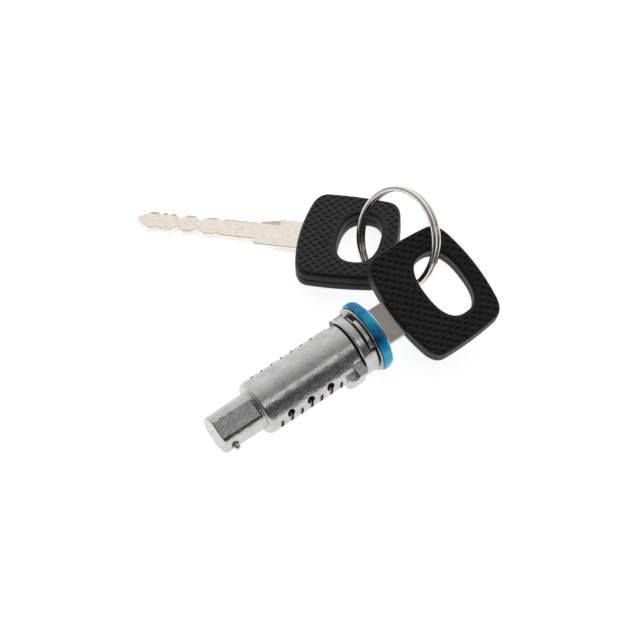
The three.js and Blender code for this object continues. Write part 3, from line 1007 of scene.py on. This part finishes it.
def head_outline():
    """The outline as a dense closed curve: four bowed sides joined by rounded corners."""
    corners = np.array(
        ((0, -HEAD_NEAR), (HEAD_LENGTH, -HEAD_FAR), (HEAD_LENGTH, HEAD_FAR), (0, HEAD_NEAR)), float
    )
    curve = []

    def at(i, t):
        a, b = corners[i], corners[(i + 1) % 4]
        return a + np.outer(t, b - a) + np.outer(4 * t * (1 - t), HEAD_BOWS[i])

    for i in range(4):
        curve.append(at(i, np.linspace(HEAD_CORNER, 1 - HEAD_CORNER, 200)))
        start, end = curve[-1][-1], at((i + 1) % 4, np.array([HEAD_CORNER]))[0]
        t = np.linspace(0, 1, 60)[1:-1, None]
        curve.append((1 - t) ** 2 * start + 2 * t * (1 - t) * corners[(i + 1) % 4] + t**2 * end)
    return np.concatenate(curve)


def hole_radius(angle):
    """The radius of the oval hole at an angle from its centre."""
    c, s = np.abs(np.cos(angle)), np.abs(np.sin(angle))
    return ((c / HOLE_HALF_X) ** HOLE_POWER + (s / HOLE_HALF_Y) ** HOLE_POWER) ** (-1 / HOLE_POWER)


def rolled(inset, radius):
    """How far a rounded edge of that radius lies below the face, at an inset from the outline."""
    into = np.clip(radius - inset, 0, radius)
    return radius - np.sqrt(np.clip(radius**2 - into**2, 0, None))


def head_half():
    """The upper half of a head: dimpled face, rolled rims, side walls and a flat parting face."""
    centre = np.array((HOLE_X, 0.0))
    dense = head_outline() - centre
    # even steps along the outline, then the matching angles from the hole's centre
    closed = np.vstack((dense, dense[:1]))
    length = np.concatenate(([0], np.cumsum(np.linalg.norm(np.diff(closed, axis=0), axis=1))))
    along = np.linspace(0, length[-1], AROUND, endpoint=False)
    outer = np.column_stack([np.interp(along, length, closed[:, k]) for k in (0, 1)])
    angle = np.arctan2(outer[:, 1], outer[:, 0])
    rim = hole_radius(angle)[:, None] * np.column_stack((np.cos(angle), np.sin(angle)))
    # finer steps near both rims
    share = np.linspace(0, 1, ACROSS)
    share = share - RIM_CROWDING * np.sin(4 * math.pi * share)
    grid = rim[None] + (outer - rim)[None] * share[:, None, None]
    flat = grid.reshape(-1, 2)
    to_outer = distance_to_curve(flat, outer)
    to_hole = distance_to_curve(flat, rim)
    x, y = flat[:, 0] + centre[0], flat[:, 1]
    height = np.full(len(flat), HEAD_THICK / 2)
    height -= rolled(to_outer, OUTER_ROLL)
    height -= rolled(to_hole, HOLE_ROLL)
    # dished band round the hole
    height -= DISH_DEPTH * np.clip(1 - to_hole / DISH_WIDTH, 0, 1) ** 1.6
    height -= dimple_depth(x, y) * fade(to_outer, 0.55, 1.0) * fade(to_hole, 1.3, 1.9)
    rows = [np.column_stack((x, y, height)).reshape(ACROSS, AROUND, 3)]
    # side walls run down to the parting line, which is a fine groove
    outward = outer / np.linalg.norm(outer, axis=1)[:, None]
    low_outer = height.reshape(ACROSS, AROUND)[-1]
    low_inner = height.reshape(ACROSS, AROUND)[0]
    wall = [(0.02, t) for t in (0.25, 0.5, 0.75)] + [(0.0, 0.9), (-0.04, 0.94), (-0.18, 1.0)]
    bottom = 0.03
    for push, t in wall:
        z = low_outer + (bottom - low_outer) * t
        rows.append(np.column_stack((outer + centre + outward * push, z))[None])
    inner = []
    for push, t in wall:
        z = low_inner + (bottom - low_inner) * t
        inner.append(np.column_stack((rim + centre - outward * push, z))[None])
    rows = list(reversed(inner)) + rows
    rows = np.concatenate(rows)
    count = len(rows)
    vertices = rows.reshape(-1, 3)
    faces = []
    step = np.arange(AROUND)
    after = (step + 1) % AROUND
    for i in range(count):
        near, far = i * AROUND, (i + 1) % count * AROUND
        faces.append(np.column_stack((near + step, far + step, far + after, near + after)))
    piece = make("head", vertices, np.concatenate(faces).tolist())
    outwards(piece)
    half_y, half_z = SHOULDER_HALF + 0.1, BLADE_THICK / 2 + 0.1
    combine(piece, "DIFFERENCE", block((-9, -half_y, -half_z), (-1.6, half_y, half_z)))
    shade(piece, angle=55)
    return piece


def distance_to_curve(points, curve):
    """The distance from each point to a closed curve of dense points."""
    closed = np.vstack((curve, curve[:1]))
    a, d = closed[:-1], np.diff(closed, axis=0)
    squared = (d**2).sum(1)
    result = np.empty(len(points))
    for start in range(0, len(points), 4000):
        part = points[start : start + 4000]
        offset = part[:, None] - a[None]
        t = np.clip((offset * d).sum(2) / squared, 0, 1)
        result[start : start + 4000] = np.sqrt(((offset - t[..., None] * d) ** 2).sum(2).min(1))
    return result


def dimple_depth(x, y):
    """A staggered field of small round dimples."""
    pitch, row, (x0, y0) = DIMPLE["pitch"], DIMPLE["row"], DIMPLE["at"]
    line = np.round((y - y0) / row)
    depth = np.zeros(len(x))
    for k in (-1, 0, 1):
        j = line + k
        shift = np.where(np.mod(j, 2) == 1, pitch / 2, 0)
        i = np.round((x - x0 - shift) / pitch)
        cx, cy = x0 + shift + i * pitch, y0 + j * row
        r = np.hypot(x - cx, (y - cy) * 1.12) / DIMPLE["r"]
        depth = np.maximum(depth, DIMPLE["depth"] * np.sqrt(np.clip(1 - r**3, 0, 1)))
    return depth


half = head_half()
for key, matrix in (("key_1", KEY_1), ("key_2", KEY_2)):
    finish(blade(), f"{key}_blade_metal", matrix, key, BLADES[key], "blade", f"{key}_blade")
    for side, degrees in (("front", 0), ("back", 180)):
        shell = bpy.data.objects.new("shell", half.data.copy())
        scene.collection.objects.link(shell)
        turned(shell, degrees)
        name, node = f"{key}_grip_{side}", f"{key}_head_{side}"
        finish(shell, name, matrix, key, BLACK, "black_plastic", node)
bpy.data.objects.remove(half)

# ---- Split ring ---------------------------------------------------------------------------

SPLIT_R, SPLIT_RADIAL, SPLIT_COIL = 15.35, 1.5, 1.3
SPLIT_PITCH, SPLIT_TURNS = 1.5, 1.94
SPLIT_STEP = (0.945, 0.995)  # the turns between which the wire steps over to its second coil


def split_ring():
    """Two coils of flat wire with rounded edges, joined by a step beside the cut ends."""
    steps, sides = 560, 24
    mean = SPLIT_R - SPLIT_RADIAL / 2
    down = RING.to_3x3().inverted() @ Vector((0, 0, -1))
    start = math.atan2(down.y, down.x)
    around = np.arange(sides) / sides * 2 * math.pi
    power = 2 / 3.2
    u = SPLIT_RADIAL / 2 * np.sign(np.cos(around)) * np.abs(np.cos(around)) ** power
    v = SPLIT_COIL / 2 * np.sign(np.sin(around)) * np.abs(np.sin(around)) ** power
    rows = []
    for i in range(steps + 1):
        turn = i / steps * SPLIT_TURNS
        angle = start + turn * 2 * math.pi
        centre = (fade(turn, *SPLIT_STEP) - 0.5) * SPLIT_PITCH
        # the cut ends are slightly rounded
        end = min(i, steps - i)
        size = (0.72, 0.9, 1.0)[min(end, 2)]
        r = mean + u * size
        rows.append(np.column_stack((r * math.cos(angle), r * math.sin(angle), centre + v * size)))
    return tube(rows, 60)


finish(split_ring(), "split_ring_coils", RING, "split_ring", NICKEL, "nickel", "split_ring")

# ---- Camera, floor and light --------------------------------------------------------------

CAMERA_AZIMUTH, CAMERA_ELEVATION = math.radians(-36.24), math.radians(54.4)
CAMERA_TARGET = Vector((49.44, 18.55, -6.80)) * MM
CAMERA_DISTANCE = 0.7076
CAMERA_LENS = 138.06
FLOOR_HALF, FLOOR_POINTS = 1.6, 24


def add_camera():
    """The camera, aimed at the target from its azimuth and elevation."""
    data = bpy.data.cameras.new("camera")
    data.lens = CAMERA_LENS
    data.sensor_width = 36
    data.clip_start, data.clip_end = 0.01, 20
    camera = bpy.data.objects.new("camera", data)
    scene.collection.objects.link(camera)
    back = Vector(
        (
            math.sin(CAMERA_AZIMUTH) * math.cos(CAMERA_ELEVATION),
            -math.cos(CAMERA_AZIMUTH) * math.cos(CAMERA_ELEVATION),
            math.sin(CAMERA_ELEVATION),
        )
    )
    camera.location = CAMERA_TARGET + back * CAMERA_DISTANCE
    camera.rotation_euler = back.to_track_quat("Z", "Y").to_euler()
    scene.camera = camera


def add_floor():
    """A plain pale floor under the object."""
    count = FLOOR_POINTS
    steps = np.linspace(-FLOOR_HALF, FLOOR_HALF, count)
    vertices = [(x + 0.05, y + 0.02, cad_low.z) for y in steps for x in steps]
    faces = [
        (j * count + i, j * count + i + 1, (j + 1) * count + i + 1, (j + 1) * count + i)
        for j in range(count - 1)
        for i in range(count - 1)
    ]
    floor = make("floor", vertices, faces)
    material = bpy.data.materials.new("floor")
    material.use_nodes = True
    bsdf = material.node_tree.nodes["Principled BSDF"]
    bsdf.inputs["Base Color"].default_value = (0.6, 0.6, 0.6, 1)
    bsdf.inputs["Roughness"].default_value = 0.9
    bsdf.inputs["Specular IOR Level"].default_value = 0.1
    bsdf.inputs["Emission Color"].default_value = (1, 1, 1, 1)
    bsdf.inputs["Emission Strength"].default_value = 0.86
    floor.data.materials.append(material)


def add_world():
    """A studio dome: dark towards the camera, grey overhead and bright behind the object."""
    world = bpy.data.worlds.new("studio")
    scene.world = world
    world.use_nodes = True
    nodes, links = world.node_tree.nodes, world.node_tree.links
    coords = nodes.new("ShaderNodeTexCoord")
    away = nodes.new("ShaderNodeVectorMath")
    away.operation = "DOT_PRODUCT"
    away.inputs[1].default_value = (-math.sin(CAMERA_AZIMUTH), math.cos(CAMERA_AZIMUTH), 0)
    links.new(coords.outputs["Generated"], away.inputs[0])
    spread = nodes.new("ShaderNodeMapRange")
    spread.inputs["From Min"].default_value = -1
    spread.inputs["From Max"].default_value = 1
    links.new(away.outputs["Value"], spread.inputs["Value"])
    ramp = nodes.new("ShaderNodeValToRGB")
    stops = (
        (0.0, 0.01),
        (0.16, 0.03),
        (0.29, 0.09),
        (0.40, 0.22),
        (0.50, 0.33),
        (0.60, 0.50),
        (0.70, 0.68),
        (0.80, 0.84),
        (1.0, 1.0),
    )
    fill_ramp(ramp.color_ramp, stops)
    links.new(spread.outputs["Result"], ramp.inputs["Fac"])
    path = nodes.new("ShaderNodeLightPath")
    mix = nodes.new("ShaderNodeMix")
    mix.data_type = "RGBA"
    mix.inputs[7].default_value = (0.9, 0.9, 0.9, 1)
    links.new(path.outputs["Is Camera Ray"], mix.inputs[0])
    links.new(ramp.outputs["Color"], mix.inputs[6])
    links.new(mix.outputs[2], nodes["Background"].inputs["Color"])
    nodes["Background"].inputs["Strength"].default_value = 1.0


def add_softbox(name, azimuth, elevation, distance, size, power):
    """An area light aimed at the object; azimuth is from the camera's side, anticlockwise."""
    data = bpy.data.lights.new(name, "AREA")
    data.shape = "DISK"
    data.size = size
    data.energy = power
    light = bpy.data.objects.new(name, data)
    scene.collection.objects.link(light)
    turn, rise = CAMERA_AZIMUTH + math.radians(azimuth), math.radians(elevation)
    back = Vector((math.sin(turn) * math.cos(rise), -math.cos(turn) * math.cos(rise), math.sin(rise)))
    light.location = CAMERA_TARGET + back * distance
    light.rotation_euler = back.to_track_quat("Z", "Y").to_euler()


add_camera()
add_floor()
add_world()
add_softbox("front_right", 50, 57, 1.2, 0.35, 0.5)
scene.view_settings.view_transform = "Standard"
